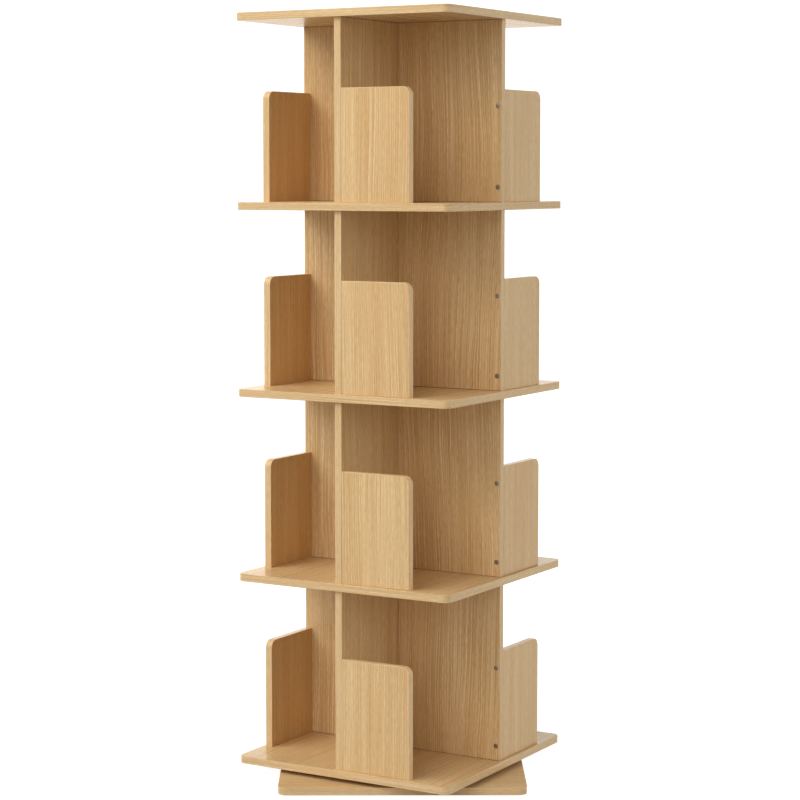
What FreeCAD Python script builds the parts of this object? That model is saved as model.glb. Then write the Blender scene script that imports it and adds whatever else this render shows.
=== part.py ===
import FreeCAD, Part
import math
import os

# Revolving bookcase of faced board: four tiers of shelves that turn together on a square base plate.
# Lengths are in mm and angles in degrees. +Z is up, the origin lies on the floor on the turning axis,
# and X and Y run along the sides of the shelves.

# Boards of the carousel and the base
board_thickness = 15.0
shelf_overhang = 7.5
shelf_corner_radius = 14.0
base_overhang = 2.5
base_corner_radius = 18.0
base_turn_angle = 30.5

# Uprights: four tall panels set as a pinwheel in each tier, each with a bookend at its outer end
tier_count = 4
panel_width = 230.0
panel_height = 350.0
bookend_width = 150.0
bookend_height = 217.0
bookend_corner_radius = 16.0

# Loose tenons that tie the tall panels to the shelves below and above them
tenon_width = 40.0
tenon_thickness = 5.0
tenon_grip = 15.0
tenon_blind_depth = 9.0
tenon_clearance = 0.2
mortise_end_gap = 0.8

# Felt pads under the base plate
pad_side = 30.0
pad_thickness = 2.0
pad_inset = 20.0

# Turntable: two flat rings with caged balls between them
race_diameter = 260.0
race_flank_angle = 45.0
ring_width = 20.0
ring_gap = 2.0
ring_rub_gap = 0.6
ball_diameter = 4.5
ball_count = 6
ball_clearance = 0.25
cage_web = 0.8
cage_float = 0.7
cage_clearance = 0.4

# Sizes, levels and radii that follow from the ones above
shelf_side = 2 * (panel_width + shelf_overhang)
base_side = shelf_side + 2 * base_overhang
pocket_diameter = ball_diameter + 2 * ball_clearance
cage_height = pocket_diameter + 2 * cage_web
turntable_height = cage_height + 2 * cage_float
base_level = pad_thickness
turntable_level = base_level + board_thickness
carousel_level = turntable_level + turntable_height
tier_pitch = board_thickness + panel_height
ball_level = turntable_level + turntable_height / 2
ring_height = turntable_height - ring_rub_gap
race_radius = race_diameter / 2
race_apex = pocket_diameter / 2 / math.sin(math.radians(race_flank_angle))
race_half_height = (race_apex - ring_gap / 2) * math.tan(math.radians(race_flank_angle))

origin = FreeCAD.Vector()
up = FreeCAD.Vector(0, 0, 1)
along_x = FreeCAD.Vector(1, 0, 0)
full_turn = 360.0
sides = ("front", "right", "back", "left")
shelf_names = ("bottom_shelf", "second_shelf", "third_shelf", "fourth_shelf", "top_board")


def save(node, shape):
    shape.exportStep("parts/" + node + ".step")


def spun(shape, angle):
    """A copy of the shape, turned about the bookcase's axis."""
    copy = shape.copy()
    copy.rotate(origin, up, angle)
    return copy


def around(shape, count, start=0):
    """Copies of the shape, spread evenly around the bookcase's axis."""
    return [spun(shape, start + full_turn * step / count) for step in range(count)]


def turned(profile):
    """A solid turned about Z from the radius and height of each corner of its half section."""
    corners = [FreeCAD.Vector(radius, 0, height) for radius, height in profile]
    section = Part.Face(Part.makePolygon(corners + corners[:1]))
    return section.revolve(origin, up, full_turn)


def edge_near(shape, x, y, z):
    """The edge of a shape whose middle lies nearest to a place."""
    place = FreeCAD.Vector(x, y, z)
    return min(shape.Edges, key=lambda edge: edge.CenterOfMass.distanceToPoint(place))


def rounded_board(side, corner_radius, level):
    """A square board, centred on the axis, with its four upright corners rounded."""
    half = side / 2
    blank = Part.makeBox(side, side, board_thickness, FreeCAD.Vector(-half, -half, level))
    middle = level + board_thickness / 2
    corners = [edge_near(blank, x, y, middle) for x in (-half, half) for y in (-half, half)]
    return blank.makeFillet(corner_radius, corners)


def shelf_level(index):
    """The height of a shelf's underside, counted from the bottom shelf."""
    return carousel_level + index * tier_pitch


def tenon(index, side_room=0, end_room=0):
    """The front panel's tenon at a shelf: blind in the bottom shelf and top board, else right through."""
    underside = shelf_level(index)
    topside = underside + board_thickness
    foot = topside - tenon_blind_depth if index == 0 else underside - tenon_grip
    head = underside + tenon_blind_depth if index == tier_count else topside + tenon_grip
    thickness = tenon_thickness + 2 * side_room
    width = tenon_width + 2 * side_room
    corner = FreeCAD.Vector(-(board_thickness + thickness) / 2, -(panel_width + width) / 2, foot - end_room)
    return Part.makeBox(thickness, width, head - foot + 2 * end_room, corner)


def mortise(index):
    """The slot that a tenon sits in, with room around it."""
    return tenon(index, tenon_clearance, mortise_end_gap)


def shelf(index):
    """A shelf board with a mortise under each tall panel that stands on it or carries it."""
    board = rounded_board(shelf_side, shelf_corner_radius, shelf_level(index))
    return board.cut(around(mortise(index), len(sides)))


def shelf_tenons(index):
    return Part.makeCompound(around(tenon(index), len(sides)))


def tall_panel(tier):
    """The front tall panel of a tier: its right face lies on the axis, where the next panel butts on."""
    corner = FreeCAD.Vector(-board_thickness, -panel_width, shelf_level(tier) + board_thickness)
    blank = Part.makeBox(board_thickness, panel_width, panel_height, corner)
    return blank.cut([mortise(tier), mortise(tier + 1)])


def bookend(tier):
    """The front bookend of a tier, flush with the panel's outer edge, its free top corner rounded."""
    foot = shelf_level(tier) + board_thickness
    corner = FreeCAD.Vector(0, -panel_width, foot)
    blank = Part.makeBox(bookend_width, board_thickness, bookend_height, corner)
    free_corner = edge_near(blank, bookend_width, board_thickness / 2 - panel_width, foot + bookend_height)
    return blank.makeFillet(bookend_corner_radius, [free_corner])


def race_ring(facing, foot):
    """A flat ring with a V race in the face that looks at the balls: 1 is outside them, -1 inside."""
    rim = race_radius + facing * ring_width
    land = race_radius + facing * ring_gap / 2
    apex = race_radius + facing * race_apex
    top = foot + ring_height
    return turned([(rim, foot), (land, foot), (land, ball_level - race_half_height), (apex, ball_level),
                   (land, ball_level + race_half_height), (land, top), (rim, top)])


def outer_ring():
    """The ring that lies on the base plate, its race looking inwards at the balls."""
    return race_ring(1, turntable_level)


def inner_ring():
    """The ring under the bottom shelf, clear of the base plate, its race looking outwards."""
    return race_ring(-1, turntable_level + ring_rub_gap)


def ball_cage():
    """A thin upright band between the rings, with a round pocket for each ball."""
    inside = race_radius - ring_gap / 2 + cage_clearance
    outside = race_radius + ring_gap / 2 - cage_clearance
    foot = ball_level - cage_height / 2
    top = ball_level + cage_height / 2
    band = turned([(inside, foot), (outside, foot), (outside, top), (inside, top)])
    start = FreeCAD.Vector(race_radius - ring_gap / 2, 0, ball_level)
    pocket = Part.makeCylinder(pocket_diameter / 2, ring_gap, start, along_x)
    return band.cut(around(pocket, ball_count))


def bearing_balls():
    ball = Part.makeSphere(ball_diameter / 2, FreeCAD.Vector(race_radius, 0, ball_level))
    return Part.makeCompound(around(ball, ball_count))


def base_plate():
    return spun(rounded_board(base_side, base_corner_radius, base_level), base_turn_angle)


def felt_pads():
    corner = base_side / 2 - pad_inset - pad_side
    pad = Part.makeBox(pad_side, pad_side, pad_thickness, FreeCAD.Vector(corner, corner, 0))
    return Part.makeCompound(around(pad, len(sides), base_turn_angle))


os.makedirs("parts", exist_ok=True)

# The base, which stands still
save("base_plate", base_plate())
save("felt_pads", felt_pads())
save("turntable_outer_ring", outer_ring())

# The caged balls, which roll between the rings
save("ball_cage", ball_cage())
save("bearing_balls", bearing_balls())

# The carousel, which turns
save("turntable_inner_ring", inner_ring())
for index, shelf_name in enumerate(shelf_names):
    save(shelf_name, shelf(index))
    save(shelf_name + "_tenons", shelf_tenons(index))
for tier in range(tier_count):
    tier_name = "tier" + str(tier + 1)
    for quarter, side in enumerate(sides):
        angle = full_turn * quarter / len(sides)
        save(tier_name + "_" + side + "_panel", spun(tall_panel(tier), angle))
        save(tier_name + "_" + side + "_bookend", spun(bookend(tier), angle))
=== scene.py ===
import math

import bmesh
import bpy
from mathutils import Matrix, Vector


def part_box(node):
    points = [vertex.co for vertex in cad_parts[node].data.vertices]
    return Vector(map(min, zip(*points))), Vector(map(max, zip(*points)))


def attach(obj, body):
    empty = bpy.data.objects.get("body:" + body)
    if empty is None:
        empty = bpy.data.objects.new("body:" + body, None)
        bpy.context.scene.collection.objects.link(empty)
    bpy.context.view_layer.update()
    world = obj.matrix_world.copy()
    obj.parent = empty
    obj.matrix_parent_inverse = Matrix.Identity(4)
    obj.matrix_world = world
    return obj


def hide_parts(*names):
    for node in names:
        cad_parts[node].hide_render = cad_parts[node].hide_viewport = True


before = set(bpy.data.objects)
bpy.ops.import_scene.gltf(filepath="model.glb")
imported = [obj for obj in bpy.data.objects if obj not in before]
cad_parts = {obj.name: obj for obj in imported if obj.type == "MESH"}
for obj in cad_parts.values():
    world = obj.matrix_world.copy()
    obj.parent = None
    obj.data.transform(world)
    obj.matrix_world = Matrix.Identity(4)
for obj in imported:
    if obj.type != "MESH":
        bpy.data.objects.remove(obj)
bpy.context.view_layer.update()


# Felt pads: four squares die cut from pressed brown felt, glued under the corners of the base plate.
# Their rims are a little rounded by wear, and they keep the plate clear of the floor.
pad_side = 0.030
pad_start = 0.190
pad_thickness = 0.002
pad_corner = 0.002
pad_rim = 0.0005
base_turn = math.radians(30.5)
felt_shade = (0.060, 0.047, 0.036, 1)
felt_brown = (0.12, 0.095, 0.075, 1)
felt_fibre = (0.20, 0.165, 0.13, 1)
band_slot = 1
core_slot = 2


def node(tree, kind, values=None, **settings):
    """A shader node with its settings, and its sockets set to a value or joined to another node's output."""
    made = tree.nodes.new(kind)
    for setting, value in settings.items():
        setattr(made, setting, value)
    for socket, value in (values or {}).items():
        if isinstance(value, bpy.types.NodeSocket):
            tree.links.new(value, made.inputs[socket])
        else:
            made.inputs[socket].default_value = value
    return made


def calc(tree, operation, first, second=0.0):
    return node(tree, "ShaderNodeMath", {0: first, 1: second}, operation=operation).outputs[0]


def ranged(tree, value, low, high, to_low=0.0, to_high=1.0):
    """A value that runs smoothly between two limits and stays at them outside."""
    return node(tree, "ShaderNodeMapRange", {"Value": value, "From Min": low, "From Max": high,
                "To Min": to_low, "To Max": to_high}, interpolation_type="SMOOTHSTEP").outputs["Result"]


def stretched_noise(tree, place, stretch, detail=2.0, roughness=0.5, dimensions="3D"):
    """Noise with its own count of waves to the metre along each axis."""
    spread = node(tree, "ShaderNodeVectorMath", {0: place, 1: stretch}, operation="MULTIPLY").outputs[0]
    return node(tree, "ShaderNodeTexNoise", {"Vector": spread, "Scale": 1.0, "Detail": detail,
                "Roughness": roughness}, noise_dimensions=dimensions).outputs["Fac"]


def mixed(tree, share, first, second):
    return node(tree, "ShaderNodeMix", {0: share, 6: first, 7: second}, data_type="RGBA").outputs[2]


def object_place(tree):
    return node(tree, "ShaderNodeTexCoord").outputs["Object"]


def new_finish(name):
    """A material with its tree and its Principled shader."""
    material = bpy.data.materials.new(name)
    material.use_nodes = True
    return material, material.node_tree, material.node_tree.nodes["Principled BSDF"]


def painted(tree, shader, colour, roughness):
    """Joins a colour and a roughness that change over the surface to the shader."""
    tree.links.new(colour, shader.inputs["Base Color"])
    tree.links.new(roughness, shader.inputs["Roughness"])


def bumped(tree, shader, height, strength, depth):
    bump = node(tree, "ShaderNodeBump", {"Height": height, "Strength": strength, "Distance": depth})
    tree.links.new(bump.outputs["Normal"], shader.inputs["Normal"])


def rectangle(width, height, radii=(0, 0, 0, 0), start=(0, 0), arc_steps=8):
    """A rectangle's outline, turned left all round, with an arc at each corner that has a radius."""
    corners = [Vector(start) + Vector(way) for way in ((0, 0), (width, 0), (width, height), (0, height))]
    outline = []
    for here, (corner, radius) in enumerate(zip(corners, radii)):
        if not radius:
            outline.append(corner)
            continue
        before = (corners[here - 1] - corner).normalized()
        after = (corners[(here + 1) % len(corners)] - corner).normalized()
        centre = corner + (before + after) * radius
        for step in range(arc_steps + 1):
            angle = math.pi / 2 * step / arc_steps
            outline.append(centre - after * radius * math.cos(angle) - before * radius * math.sin(angle))
    return outline


def faced_slab(outline, thickness, arris, grain_along=1, sheet=0, bare=(), arris_steps=3):
    """A flat board in its own axes with round arrises. Its two faces are in the first slot, the band round
    its edge in the band's slot, and its bare edges, named by the outline's sides, in the core's slot.
    The veneer map is in metres, across and along the grain. Each sheet has a place of its own on it, and
    so have its second face and its band."""
    sheet_step = (3.17, 5.39)
    face_shift = 1.1
    band_shift = 2.3
    slab = bmesh.new()
    veneer = slab.loops.layers.uv.new("veneer")
    count = len(outline)
    inward = []
    runs = [0.0]
    for here in range(count):
        arrive = (outline[here] - outline[here - 1]).normalized()
        leave = (outline[(here + 1) % count] - outline[here]).normalized()
        side_a = Vector((-arrive.y, arrive.x))
        side_b = Vector((-leave.y, leave.x))
        inward.append((side_a + side_b) / (1 + side_a.dot(side_b)))
        runs.append(runs[-1] + (outline[(here + 1) % count] - outline[here]).length)
    turn = [math.pi / 2 * step / arris_steps for step in range(arris_steps + 1)]
    lower = [(arris * (1 - math.sin(angle)), arris * (1 - math.cos(angle))) for angle in turn]
    section = lower + [(inset, thickness - height) for inset, height in reversed(lower)]
    rings = []
    for inset, height in section:
        ring = [point + way * inset for point, way in zip(outline, inward)]
        rings.append([slab.verts.new((point.x, point.y, height)) for point in ring])
    home = Vector((sheet_step[0] * sheet, sheet_step[1] * sheet))
    for side, ring in enumerate((list(reversed(rings[0])), rings[-1])):
        face = slab.faces.new(ring)
        for loop in face.loops:
            flat = loop.vert.co
            loop[veneer].uv = home + Vector((flat[1 - grain_along] + face_shift * side, flat[grain_along]))
    for level in range(len(rings) - 1):
        for here in range(count):
            there = (here + 1) % count
            face = slab.faces.new((rings[level][here], rings[level][there],
                                   rings[level + 1][there], rings[level + 1][here]))
            face.material_index = core_slot if here in bare else band_slot
            for loop, run, step in zip(face.loops, (here, here + 1, here + 1, here), (0, 0, 1, 1)):
                height = section[level + step][1] - section[level + step][0]
                loop[veneer].uv = home + Vector((height + band_shift, runs[run]))
    return slab


def gathered(forms):
    """Several forms, each with its place, as one form."""
    whole = bmesh.new()
    whole.loops.layers.uv.new("veneer")
    for form, spot in forms:
        one = bpy.data.meshes.new("one")
        form.to_mesh(one)
        form.free()
        one.transform(spot)
        whole.from_mesh(one)
        bpy.data.meshes.remove(one)
    return whole


def placed(name, form, finishes, spot=Matrix.Identity(4)):
    """An object from a form in its own axes, set in the bookcase's frame."""
    mesh = bpy.data.meshes.new(name)
    form.to_mesh(mesh)
    form.free()
    mesh.transform(spot)
    piece = bpy.data.objects.new(name, mesh)
    bpy.context.scene.collection.objects.link(piece)
    for finish in finishes:
        mesh.materials.append(finish)
    return piece


def smoothed(piece, sharp_angle=math.radians(35)):
    """Smooth arrises and arcs beside flat faces."""
    piece.data.shade_smooth()
    piece.data.set_sharp_from_angle(angle=sharp_angle)
    flats = piece.modifiers.new("flat faces", "WEIGHTED_NORMAL")
    flats.weight = 100
    flats.keep_sharp = True


felt, tree, shader = new_finish("pressed_felt")
place = object_place(tree)
fibres = stretched_noise(tree, place, stretch=(900, 1400, 2200), detail=4.0, roughness=0.7)
tufts = stretched_noise(tree, place, stretch=(160, 160, 160), detail=3.0, roughness=0.6)
tone = mixed(tree, tufts, felt_shade, felt_brown)
painted(tree, shader, mixed(tree, ranged(tree, fibres, low=0.35, high=0.72), tone, felt_fibre),
        ranged(tree, tufts, low=0.2, high=0.8, to_low=0.86, to_high=1.0))
shader.inputs["Sheen Weight"].default_value = 0.3
bumped(tree, shader, fibres, strength=0.6, depth=0.0003)

pad_outline = rectangle(pad_side, pad_side, [pad_corner] * 4)
pad_place = Matrix.Translation((pad_start, pad_start, 0))
pad_turns = [base_turn + math.pi / 2 * quarter for quarter in range(4)]
pads = [(faced_slab(pad_outline, pad_thickness, pad_rim), Matrix.Rotation(turn, 4, "Z") @ pad_place)
        for turn in pad_turns]
felt_squares = placed("felt_squares", gathered(pads), [felt, felt])
smoothed(felt_squares)
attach(felt_squares, "base")
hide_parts("felt_pads")


# Base plate: a square of particle board faced with oak-look foil, its corners rounded and its edge banded.
# It stands still on its pads, turned under the shelves, and its underside is bored for the ring screws.
base_side = 0.480
base_corner = 0.018
base_sheet = 1
board_thickness = 0.015
level_arris = 0.0007
ring_screw_circle = 0.1405
ring_screw_count = 6
screw_head = 0.0096
screw_head_depth = 0.0034
screw_shank = 0.0048
head_bore = 0.0102
bore_past_head = 0.001
shank_room = 0.0002
cutter_overrun = 0.002
lacquer_roughness = (0.23, 0.32)
lacquer_ior = 1.30
# The core's chip colours are darker than bare particle board: painted shade for the shadow lines at the
# joints.
chip_dark_with_joint_shade = (0.17, 0.10, 0.05, 1)
chip_pale_with_joint_shade = (0.34, 0.225, 0.125, 1)
chip_dust = (0.10, 0.06, 0.032, 1)

oak_figure = bpy.data.node_groups.new("oak_figure", "ShaderNodeTree")
tree = oak_figure
for socket, kind in (("Veneer Place", "NodeSocketVector"), ("Ring Width", "NodeSocketFloat"),
                     ("Wander", "NodeSocketFloat")):
    tree.interface.new_socket(name=socket, in_out="INPUT", socket_type=kind)
for socket in ("Late Wood", "Streaks", "Pores", "Tone"):
    tree.interface.new_socket(name=socket, in_out="OUTPUT", socket_type="NodeSocketFloat")
shiver_share = 0.30
growth_swing = 5.0
cloud_share = 0.7
sheet_share = 0.3


def figure_noise(place, stretch, detail=2.0, roughness=0.5):
    """Noise on the veneer sheet: waves to the metre across and along the grain."""
    return stretched_noise(oak_figure, place, stretch + (0,), detail, roughness, dimensions="2D")


given = node(tree, "NodeGroupInput").outputs
sheet_place = given["Veneer Place"]
apart = node(tree, "ShaderNodeSeparateXYZ", {0: sheet_place}).outputs
sway = calc(tree, "SUBTRACT", figure_noise(sheet_place, (2.6, 0.9), detail=1.0), 0.5)
shiver = calc(tree, "SUBTRACT", figure_noise(sheet_place, (16, 3.1)), 0.5)
swing = calc(tree, "ADD", sway, calc(tree, "MULTIPLY", shiver, shiver_share))
across = calc(tree, "ADD", apart[0], calc(tree, "MULTIPLY", swing, given["Wander"]))
bent = node(tree, "ShaderNodeCombineXYZ", {0: across, 1: apart[1]}).outputs[0]
growth = calc(tree, "MULTIPLY", figure_noise(bent, (9, 0.2)), growth_swing)
years = calc(tree, "ADD", calc(tree, "DIVIDE", across, given["Ring Width"]), growth)
season = calc(tree, "FRACT", years)
rise = ranged(tree, season, low=0.15, high=0.92)
fall = ranged(tree, season, low=1.0, high=0.93)
vigour = ranged(tree, figure_noise(bent, (48, 0.7)), low=0.32, high=0.68, to_low=0.15, to_high=1.0)
late_wood = calc(tree, "MULTIPLY", calc(tree, "MULTIPLY", rise, fall), vigour)
streaks = ranged(tree, figure_noise(bent, (860, 3.0), roughness=0.6), low=0.30, high=0.70)
dashes = ranged(tree, figure_noise(bent, (1000, 60)), low=0.40, high=0.64)
pores = calc(tree, "MULTIPLY", dashes, ranged(tree, season, low=0.75, high=0.05, to_low=0.45, to_high=1.0))
cloud = calc(tree, "MULTIPLY", figure_noise(bent, (13, 0.8)), cloud_share)
sheet_tone = calc(tree, "MULTIPLY", figure_noise(sheet_place, (0.31, 0.23), detail=0.0), sheet_share)
node(tree, "NodeGroupOutput", {"Late Wood": late_wood, "Streaks": streaks, "Pores": pores,
                               "Tone": calc(tree, "ADD", cloud, sheet_tone)})


def oak_finish(name, pale, warm, late, pore, ring_width, wander, figuring, banding):
    """Oak-look foil under matt lacquer: pale and warm ground, darker late wood, fine streaks, pore dashes."""
    streak_share = 0.68 * figuring
    pore_share = 0.36 * figuring
    late_relief = 0.3
    material, tree, shader = new_finish(name)
    sheet = node(tree, "ShaderNodeUVMap", uv_map="veneer").outputs["UV"]
    marks = node(tree, "ShaderNodeGroup", {"Veneer Place": sheet, "Ring Width": ring_width, "Wander": wander},
                 node_tree=oak_figure).outputs
    ground = mixed(tree, ranged(tree, marks["Tone"], low=0.30, high=0.70), pale, warm)
    grown = mixed(tree, calc(tree, "MULTIPLY", marks["Late Wood"], banding), ground, late)
    streaked = mixed(tree, calc(tree, "MULTIPLY", marks["Streaks"], streak_share), grown, late)
    pored = mixed(tree, calc(tree, "MULTIPLY", marks["Pores"], pore_share), streaked, pore)
    painted(tree, shader, pored, ranged(tree, marks["Streaks"], 0.0, 1.0, *lacquer_roughness))
    shader.inputs["IOR"].default_value = lacquer_ior
    grooves = calc(tree, "SUBTRACT", calc(tree, "MULTIPLY", marks["Late Wood"], late_relief), marks["Pores"])
    bumped(tree, shader, grooves, strength=0.15, depth=0.00012)
    return material


oak_level = oak_finish("oak_level", pale=(0.850, 0.628, 0.352, 1), warm=(0.800, 0.561, 0.301, 1),
                       late=(0.470, 0.253, 0.074, 1), pore=(0.355, 0.182, 0.044, 1),
                       ring_width=0.0120, wander=0.030, figuring=0.98, banding=0.55)
oak_band = oak_finish("oak_band", pale=(0.805, 0.618, 0.360, 1), warm=(0.770, 0.563, 0.316, 1),
                      late=(0.520, 0.298, 0.103, 1), pore=(0.390, 0.206, 0.062, 1),
                      ring_width=0.0045, wander=0.010, figuring=0.95, banding=0.23)

# Particle board core, its colours darkened as painted shade, so that the bare ends show as shadowed joint
# lines.
board_core, tree, shader = new_finish("particle_board_core")
place = object_place(tree)
chips = node(tree, "ShaderNodeTexVoronoi", {"Vector": place, "Scale": 420.0}).outputs["Color"]
chip = node(tree, "ShaderNodeSeparateXYZ", {0: chips}).outputs[0]
dust = stretched_noise(tree, place, stretch=(1800, 1800, 1800), roughness=0.6)
tone = mixed(tree, chip, chip_dark_with_joint_shade, chip_pale_with_joint_shade)
painted(tree, shader, mixed(tree, ranged(tree, dust, low=0.6, high=0.75), tone, chip_dust),
        ranged(tree, dust, low=0.2, high=0.8, to_low=0.82, to_high=0.98))
bumped(tree, shader, chip, strength=0.5, depth=0.0004)
level_finishes = [oak_level, oak_band, board_core]


def round_ring(radius, depth, sides=24):
    turns = [2 * math.pi * side / sides for side in range(sides)]
    return [(radius * math.cos(turn), radius * math.sin(turn), depth) for turn in turns]


def ring_stack(rings):
    """A closed form from rings of points, each joined to the next, with the first and the last one filled."""
    stack = bmesh.new()
    levels = [[stack.verts.new(point) for point in ring] for ring in rings]
    stack.faces.new(levels[0])
    stack.faces.new(levels[-1])
    for level, following in zip(levels, levels[1:]):
        for here in range(len(level)):
            stack.faces.new((level[here - 1], level[here], following[here], following[here - 1]))
    bmesh.ops.recalc_face_normals(stack, faces=stack.faces)
    return stack


def screw_bore():
    """The bore for a screw through a board, along +Z: wide for the head, then close round the shank."""
    neck = screw_head_depth + bore_past_head
    shank = screw_shank / 2 + shank_room
    return ring_stack([round_ring(head_bore / 2, -cutter_overrun), round_ring(head_bore / 2, neck),
                       round_ring(shank, neck), round_ring(shank, board_thickness + cutter_overrun)])


def carved(piece, cutters):
    """Takes the cutters, each a form and its place, out of a board. The cut faces show the board's core."""
    cutter = placed("cutter", gathered(cutters), level_finishes)
    for face in cutter.data.polygons:
        face.material_index = core_slot
    cut = piece.modifiers.new("cut", "BOOLEAN")
    cut.operation = "DIFFERENCE"
    cut.solver = "EXACT"
    cut.object = cutter
    bpy.context.view_layer.update()
    whole = piece.data
    piece.data = bpy.data.meshes.new_from_object(piece.evaluated_get(bpy.context.evaluated_depsgraph_get()))
    piece.data.name = piece.name
    piece.modifiers.clear()
    bpy.data.meshes.remove(whole)
    bpy.data.objects.remove(cutter)


def level_square(side, corner, sheet, grain_along):
    """A square board about its own middle, with rounded corners."""
    outline = rectangle(side, side, [corner] * 4, start=(-side / 2, -side / 2))
    return faced_slab(outline, board_thickness, level_arris, grain_along, sheet)


on_base = Matrix.Rotation(base_turn, 4, "Z")
base_board = placed("base_board", level_square(base_side, base_corner, base_sheet, grain_along=0),
                    level_finishes, on_base @ Matrix.Translation((0, 0, pad_thickness)))
ring_screw_place = Matrix.Translation((ring_screw_circle, 0, pad_thickness))
ring_screw_turns = [2 * math.pi * turn / ring_screw_count for turn in range(ring_screw_count)]
ring_screw_places = [on_base @ Matrix.Rotation(turn, 4, "Z") @ ring_screw_place for turn in ring_screw_turns]
carved(base_board, [(screw_bore(), spot) for spot in ring_screw_places])
smoothed(base_board)
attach(base_board, "base")
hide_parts("base_plate")


# Ring screws: steel screws with a dark zinc plating and a hexagon socket, sunk in bores under the base plate.
# They run up through the plate and hold the turntable's outer ring down on it.
ring_screw_length = 0.0195
ring_thread_start = 0.006
head_sink = 0.0003
socket_corner = 0.0023
socket_mouth = 0.0025
socket_depth = 0.0022
socket_chamfer = 0.0002
head_rim = ((0.0005, 0.0), (0.0001, 0.0002), (0.0, 0.0006))
head_taper = 0.0008
head_neck = ((0.0003, 0.0004), (0.0, 0.0008))
thread_pitch = 0.0018
thread_root = 0.76
thread_flanks = (0.35, 0.65)
point_shoulder = 0.70
point_tip = 0.12
zinc_shade = (0.205, 0.162, 0.130, 1)
zinc_pale = (0.290, 0.235, 0.190, 1)

zinc_steel, tree, shader = new_finish("zinc_plated_steel")
place = object_place(tree)
spangle = stretched_noise(tree, place, stretch=(700, 700, 700), detail=3.0, roughness=0.6)
rub = stretched_noise(tree, place, stretch=(2600, 2600, 600))
painted(tree, shader, mixed(tree, spangle, zinc_shade, zinc_pale),
        ranged(tree, rub, low=0.3, high=0.7, to_low=0.30, to_high=0.46))
shader.inputs["Metallic"].default_value = 1.0
bumped(tree, shader, rub, strength=0.12, depth=0.00005)


def hexagon_ring(radius, depth, side_points=4):
    """A hexagon with as many points as a round ring, so that the two can be joined."""
    ring = []
    for side in range(6):
        start = 2 * math.pi * side / 6
        end = start + math.pi / 3
        for step in range(side_points):
            share = step / side_points
            ring.append((radius * (math.cos(start) * (1 - share) + math.cos(end) * share),
                         radius * (math.sin(start) * (1 - share) + math.sin(end) * share), depth))
    return ring


def socket_screw(length, thread_start):
    """A screw along +Z, its head's top at zero: hexagon socket, head, neck, shank, threads and a point."""
    head = screw_head / 2
    shank = screw_shank / 2
    rings = [hexagon_ring(socket_corner, socket_depth), hexagon_ring(socket_corner, socket_chamfer),
             hexagon_ring(socket_mouth, 0.0)]
    rings += [round_ring(head - inset, depth) for inset, depth in head_rim]
    rings.append(round_ring(head, screw_head_depth - head_taper))
    rings += [round_ring(shank + swell, screw_head_depth + depth) for swell, depth in head_neck]
    depth = thread_start
    while depth < length - 2 * thread_pitch:
        rings += [round_ring(shank * thread_root, depth + thread_pitch * share) for share in thread_flanks]
        depth += thread_pitch
        rings.append(round_ring(shank, depth))
    rings.append(round_ring(shank * point_shoulder, length - thread_pitch))
    rings.append(round_ring(shank * point_tip, length))
    return ring_stack(rings)


sunk = Matrix.Translation((0, 0, head_sink))
screws = [(socket_screw(ring_screw_length, ring_thread_start), spot @ sunk) for spot in ring_screw_places]
ring_screws = placed("ring_screws", gathered(screws), [zinc_steel])
smoothed(ring_screws)
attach(ring_screws, "base")


# Turntable rings: two flat rings turned from aluminium, with the ball race in their facing edges.
# The outer one is screwed to the base plate and the inner one bonded under the bottom shelf.
# They lie hidden in the dark gap between the two boards.
aluminium_dull = (0.62, 0.63, 0.64, 1)
aluminium_bright = (0.74, 0.745, 0.75, 1)
tool_line_count = 2600.0

satin_aluminium, tree, shader = new_finish("turned_aluminium")
place = object_place(tree)
apart = node(tree, "ShaderNodeSeparateXYZ", {0: place}).outputs
level = node(tree, "ShaderNodeCombineXYZ", {0: apart[0], 1: apart[1]}).outputs[0]
radius = node(tree, "ShaderNodeVectorMath", {0: level}, operation="LENGTH").outputs["Value"]
tool_lines = node(tree, "ShaderNodeTexNoise", {"W": calc(tree, "MULTIPLY", radius, tool_line_count),
                  "Scale": 1.0, "Detail": 3.0}, noise_dimensions="1D").outputs["Fac"]
haze = stretched_noise(tree, place, stretch=(30, 30, 30))
painted(tree, shader, mixed(tree, haze, aluminium_dull, aluminium_bright),
        ranged(tree, tool_lines, low=0.3, high=0.7, to_low=0.28, to_high=0.42))
shader.inputs["Metallic"].default_value = 1.0
bumped(tree, shader, tool_lines, strength=0.2, depth=0.00005)


def finished(node_name, finish):
    """Puts a finish on a solid that is used as the CAD made it."""
    for finish_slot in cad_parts[node_name].material_slots:
        finish_slot.material = finish


finished("turntable_outer_ring", satin_aluminium)
finished("turntable_inner_ring", satin_aluminium)


# Ball cage: a thin band moulded from natural nylon, with a round pocket for each ball.
# It floats between the two rings and goes round at about half the shelves' speed.
nylon_shade = (0.66, 0.65, 0.58, 1)
nylon_pale = (0.76, 0.755, 0.70, 1)

nylon, tree, shader = new_finish("natural_nylon")
flow = stretched_noise(tree, object_place(tree), stretch=(45, 45, 160), detail=3.0, roughness=0.6)
painted(tree, shader, mixed(tree, flow, nylon_shade, nylon_pale),
        ranged(tree, flow, low=0.3, high=0.7, to_low=0.42, to_high=0.55))
finished("ball_cage", nylon)


# Bearing balls: hardened steel balls, ground and polished, one in each of the cage's pockets.
# A thin film of grease lies on them, and they roll between the races of the two rings.
ball_shade = (0.48, 0.48, 0.49, 1)
ball_bright = (0.60, 0.60, 0.61, 1)

bearing_steel, tree, shader = new_finish("polished_bearing_steel")
film = stretched_noise(tree, object_place(tree), stretch=(500, 500, 500))
painted(tree, shader, mixed(tree, film, ball_shade, ball_bright),
        ranged(tree, film, low=0.3, high=0.7, to_low=0.06, to_high=0.18))
shader.inputs["Metallic"].default_value = 1.0
finished("bearing_balls", bearing_steel)


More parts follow.
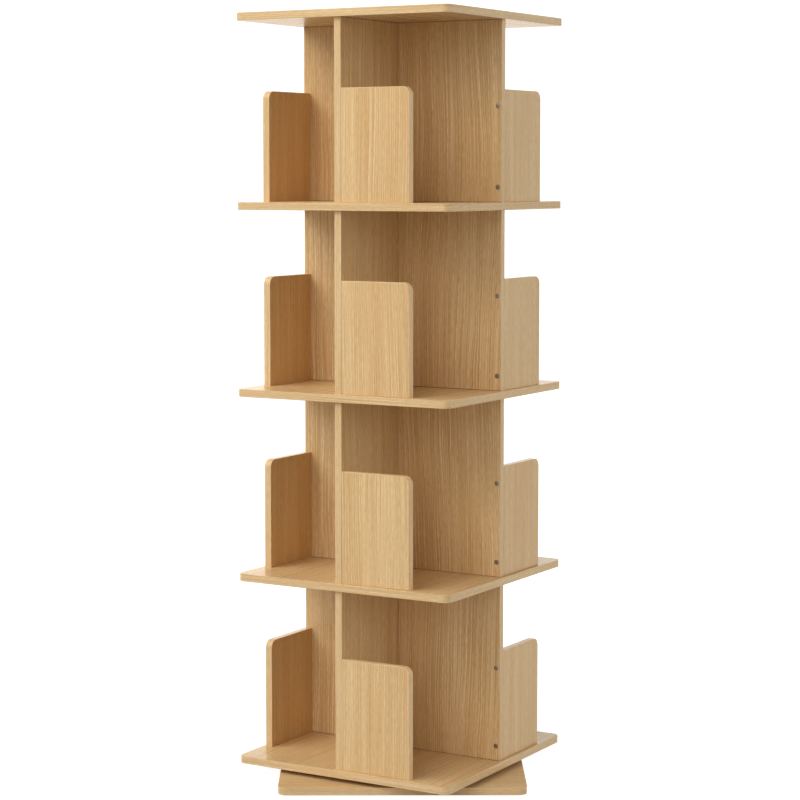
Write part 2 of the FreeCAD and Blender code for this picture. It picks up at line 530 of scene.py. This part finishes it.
# Shelves: five equal squares of faced board with rounded corners and banded edges, the grain front to back.
# Slots under and over the tall panels take the tenons: right through the three middle shelves, and blind in
# the lowest shelf and the top board.
shelf_names = ("bottom_shelf", "second_shelf", "third_shelf", "fourth_shelf", "top_board")
shelf_corner = 0.014
first_shelf_sheet = 2
panel_width = 0.230
tenon_width = 0.0404
tenon_thickness = 0.0054
blind_depth = 0.0098


def quarter_frame(quarter, level, out=0.0):
    """One arm's axes in the pinwheel: outwards, up, and through its panel from the face with the bookend."""
    outward = Matrix.Rotation(math.pi / 2 * quarter, 3, "Z") @ Vector((0, -1, 0))
    upward = Vector((0, 0, 1))
    axes = Matrix((outward, upward, outward.cross(upward))).transposed().to_4x4()
    return Matrix.Translation(outward * out + upward * level) @ axes


def slot_cutter(start, end):
    """The slot for a tenon in one arm's axes, between two heights."""
    cutter = bmesh.new()
    bmesh.ops.create_cube(cutter, size=1.0)
    bmesh.ops.scale(cutter, vec=(tenon_width, end - start, tenon_thickness), verts=cutter.verts)
    middle = (panel_width / 2, (start + end) / 2, board_thickness / 2)
    bmesh.ops.translate(cutter, vec=middle, verts=cutter.verts)
    return cutter


for number, shelf_name in enumerate(shelf_names):
    low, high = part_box(shelf_name)
    shelf = placed(shelf_name + "_panel",
                   level_square(2 * high.x, shelf_corner, first_shelf_sheet + number, grain_along=1),
                   level_finishes, Matrix.Translation((0, 0, low.z)))
    start = board_thickness - blind_depth if shelf_name == shelf_names[0] else -cutter_overrun
    end = blind_depth if shelf_name == shelf_names[-1] else board_thickness + cutter_overrun
    carved(shelf, [(slot_cutter(start, end), quarter_frame(quarter, low.z)) for quarter in range(4)])
    smoothed(shelf)
    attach(shelf, "carousel")
    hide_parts(shelf_name)


# Tenons: loose slips of planed beech, glued in the slots, that tie the tall panels to the shelves.
# They are hidden once the bookcase is together.
beech_pale = (0.62, 0.40, 0.22, 1)
beech_warm = (0.50, 0.30, 0.155, 1)
beech_fleck = (0.34, 0.18, 0.085, 1)

beech, tree, shader = new_finish("planed_beech")
place = object_place(tree)
lines = stretched_noise(tree, place, stretch=(420, 420, 9), detail=3.0, roughness=0.6)
flecks = stretched_noise(tree, place, stretch=(900, 900, 130), detail=1.0)
tone = mixed(tree, lines, beech_pale, beech_warm)
painted(tree, shader, mixed(tree, ranged(tree, flecks, low=0.62, high=0.72), tone, beech_fleck),
        ranged(tree, lines, low=0.3, high=0.7, to_low=0.58, to_high=0.72))
bumped(tree, shader, lines, strength=0.2, depth=0.0001)
for shelf_name in shelf_names:
    finished(shelf_name + "_tenons", beech)


# Tall panels: four full-height boards to a tier, set as a pinwheel so that each butts on the next one's face.
# The grain runs upright. Bare, slotted ends meet the shelves in dark joints: core darkened with painted
# shade.
# Two screw bores stand near the outer edge.
tier_count = 4
arm_sides = ("front", "right", "back", "left")
panel_height = 0.350
panel_slot_depth = 0.0158
panel_ends = (0, 2)
first_panel_sheet = 10
upright_arris = 0.001
screw_from_edge = board_thickness / 2
screw_heights = (0.029, 0.1845)

oak_upright = oak_finish("oak_upright", pale=(0.890, 0.676, 0.391, 1), warm=(0.850, 0.613, 0.338, 1),
                         late=(0.470, 0.250, 0.072, 1), pore=(0.355, 0.181, 0.043, 1),
                         ring_width=0.0052, wander=0.050, figuring=1.10, banding=0.60)


def screw_place(quarter, level, height):
    """Where a bookend screw enters: the panel's far face, half a board in from its outer edge."""
    entry = Matrix.Translation((panel_width - screw_from_edge, height, board_thickness))
    return quarter_frame(quarter, level) @ entry @ Matrix.Rotation(math.pi, 4, "X")


panel_outline = rectangle(panel_width, panel_height)
arms = [("tier%d_%s" % (tier + 1, side), 4 * tier + quarter, quarter)
        for tier in range(tier_count) for quarter, side in enumerate(arm_sides)]
for arm, number, quarter in arms:
    panel_node = arm + "_panel"
    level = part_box(panel_node)[0].z
    on_arm = quarter_frame(quarter, level)
    panel_slab = faced_slab(panel_outline, board_thickness, upright_arris,
                            sheet=first_panel_sheet + number, bare=panel_ends)
    panel = placed(arm + "_upright", panel_slab, [oak_upright, oak_band, board_core], on_arm)
    slots = ((-cutter_overrun, panel_slot_depth),
             (panel_height - panel_slot_depth, panel_height + cutter_overrun))
    cutters = [(slot_cutter(start, end), on_arm) for start, end in slots]
    cutters += [(screw_bore(), screw_place(quarter, level, height)) for height in screw_heights]
    carved(panel, cutters)
    smoothed(panel)
    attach(panel, "carousel")
    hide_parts(panel_node)


# Bookends: short boards, each butted square on its panel's face and flush with the panel's outer edge.
# The free top corner is rounded, the band runs round it, and the butted edge is bored for the two screws.
bookend_width = 0.150
bookend_height = 0.217
bookend_corner = 0.016
bookend_screw_length = 0.050
bore_past_point = 0.001
first_bookend_sheet = 30

oak_face = oak_finish("oak_face", pale=(0.835, 0.617, 0.344, 1), warm=(0.803, 0.565, 0.303, 1),
                      late=(0.470, 0.253, 0.074, 1), pore=(0.355, 0.182, 0.044, 1),
                      ring_width=0.0052, wander=0.030, figuring=0.90, banding=0.50)


def pilot_bore():
    """The bore for a screw's shank in the bookend's edge, along +Z from the panel's far face."""
    shank = screw_shank / 2 + shank_room
    return ring_stack([round_ring(shank, 0), round_ring(shank, bookend_screw_length + bore_past_point)])


bookend_outline = rectangle(bookend_width, bookend_height, (0, 0, bookend_corner, 0))
across_panel = Matrix.Rotation(math.pi / 2, 4, "Y")
for arm, number, quarter in arms:
    bookend_node = arm + "_bookend"
    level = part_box(bookend_node)[0].z
    bookend_slab = faced_slab(bookend_outline, board_thickness, upright_arris,
                              sheet=first_bookend_sheet + number)
    bookend = placed(arm + "_stop", bookend_slab, [oak_face, oak_band, board_core],
                     quarter_frame(quarter, level, panel_width - board_thickness) @ across_panel)
    carved(bookend, [(pilot_bore(), screw_place(quarter, level, height)) for height in screw_heights])
    smoothed(bookend)
    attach(bookend, "carousel")
    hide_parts(bookend_node)


# Bookend screws: longer plated socket screws, two to each bookend, sunk just under the panel's face.
# They go through the tall panel into the bookend's edge, and their dark heads show on the panel's far side.
bookend_thread_start = 0.017

for tier in range(tier_count):
    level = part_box("tier%d_front_panel" % (tier + 1))[0].z
    spots = [screw_place(quarter, level, height) for quarter in range(4) for height in screw_heights]
    screws = [(socket_screw(bookend_screw_length, bookend_thread_start), spot @ sunk) for spot in spots]
    bookend_screws = placed("tier%d_bookend_screws" % (tier + 1), gathered(screws), [zinc_steel])
    smoothed(bookend_screws)
    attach(bookend_screws, "carousel")


# Floor: a plain pale studio floor, painted matt, that runs out of sight all round.
# It glows a little, as a lit sweep does: it shows almost white, and the lacquer mirrors it.
floor_reach = 40.0
floor_shown = 0.90
floor_mirrored = 1.40
floor_shade = (0.44, 0.44, 0.436, 1)
floor_pale = (0.48, 0.48, 0.476, 1)
white = (1, 1, 1, 1)
warm_white = (1.0, 0.90, 0.76, 1)

pale_floor, tree, shader = new_finish("pale_floor")
patches = stretched_noise(tree, object_place(tree), stretch=(1.3, 1.3, 1.3))
tree.links.new(mixed(tree, patches, floor_shade, floor_pale), shader.inputs["Base Color"])
shader.inputs["Roughness"].default_value = 0.8
path = node(tree, "ShaderNodeLightPath").outputs
glow = calc(tree, "ADD", calc(tree, "MULTIPLY", path["Is Camera Ray"], floor_shown),
            calc(tree, "MULTIPLY", path["Is Glossy Ray"], floor_mirrored))
tree.links.new(mixed(tree, path["Is Camera Ray"], warm_white, white), shader.inputs["Emission Color"])
tree.links.new(glow, shader.inputs["Emission Strength"])

disc = bmesh.new()
bmesh.ops.create_circle(disc, cap_ends=True, segments=64, radius=floor_reach)
floor = placed("floor", disc, [pale_floor])


# Light: a pale, slightly warm room with a big soft box close by, high on the left.
# Broad far lamps stand round about, each with its bearing and height in degrees and its strength.
room_light = 0.02
backdrop_light = 1.20
lamps = (("key", 0, 27, 1.28), ("side_lamp", 60, 20, 0.30), ("right_lamp", 120, 12, 1.48),
         ("back_lamp", 190, 14, 0.50))
lamp_breadth = math.radians(60)
box_breadth = 4.6
box_power = 186.0
box_bearing = math.radians(-40)
box_place = Matrix.Rotation(box_bearing, 3, "Z") @ Vector((0, -3.0, 4.2))
box_aim = Vector((0, 0, 0.75))

room = bpy.data.worlds.new("white_room")
room.use_nodes = True
tree = room.node_tree
tree.nodes.clear()
fill = node(tree, "ShaderNodeBackground", {"Color": white, "Strength": room_light})
path = node(tree, "ShaderNodeLightPath").outputs
wall = mixed(tree, path["Is Camera Ray"], warm_white, white)
backdrop = node(tree, "ShaderNodeBackground", {"Color": wall, "Strength": backdrop_light})
seen = calc(tree, "MAXIMUM", path["Is Camera Ray"], path["Is Glossy Ray"])
shown = node(tree, "ShaderNodeMixShader", {0: seen, 1: fill.outputs[0], 2: backdrop.outputs[0]})
node(tree, "ShaderNodeOutputWorld", {"Surface": shown.outputs[0]})
bpy.context.scene.world = room

for lamp_name, bearing, height, strength in lamps:
    lamp = bpy.data.lights.new(lamp_name, "SUN")
    lamp.energy = strength
    lamp.angle = lamp_breadth
    stand = bpy.data.objects.new(lamp_name, lamp)
    stand.rotation_euler = (math.radians(90 - height), 0, math.radians(bearing))
    bpy.context.scene.collection.objects.link(stand)
soft_box = bpy.data.lights.new("soft_box", "AREA")
soft_box.shape = "DISK"
soft_box.size = box_breadth
soft_box.energy = box_power
stand = bpy.data.objects.new("soft_box", soft_box)
stand.location = box_place
stand.rotation_euler = (box_aim - box_place).to_track_quat("-Z", "Y").to_euler()
stand.visible_camera = False
bpy.context.scene.collection.objects.link(stand)
bpy.context.scene.view_settings.view_transform = "Standard"


# Camera: far off on a long lens, a little above the middle of the bookcase and tipped down.
# A small shift brings the whole bookcase into the frame, and the bearing and tip are in degrees.
camera_place = (2.2701, -3.8893, 1.1906)
camera_bearing = 30.324
camera_tip = 4.706
sensor_width = 36.0
focal_length = 102.02
frame_shift = -0.05
sight_reach = 100.0

lens = bpy.data.cameras.new("camera")
lens.sensor_width = sensor_width
lens.lens = focal_length
lens.shift_y = frame_shift
lens.clip_end = sight_reach
camera = bpy.data.objects.new("camera", lens)
camera.location = camera_place
camera.rotation_euler = (math.radians(90 - camera_tip), 0, math.radians(camera_bearing))
bpy.context.scene.collection.objects.link(camera)
bpy.context.scene.camera = camera
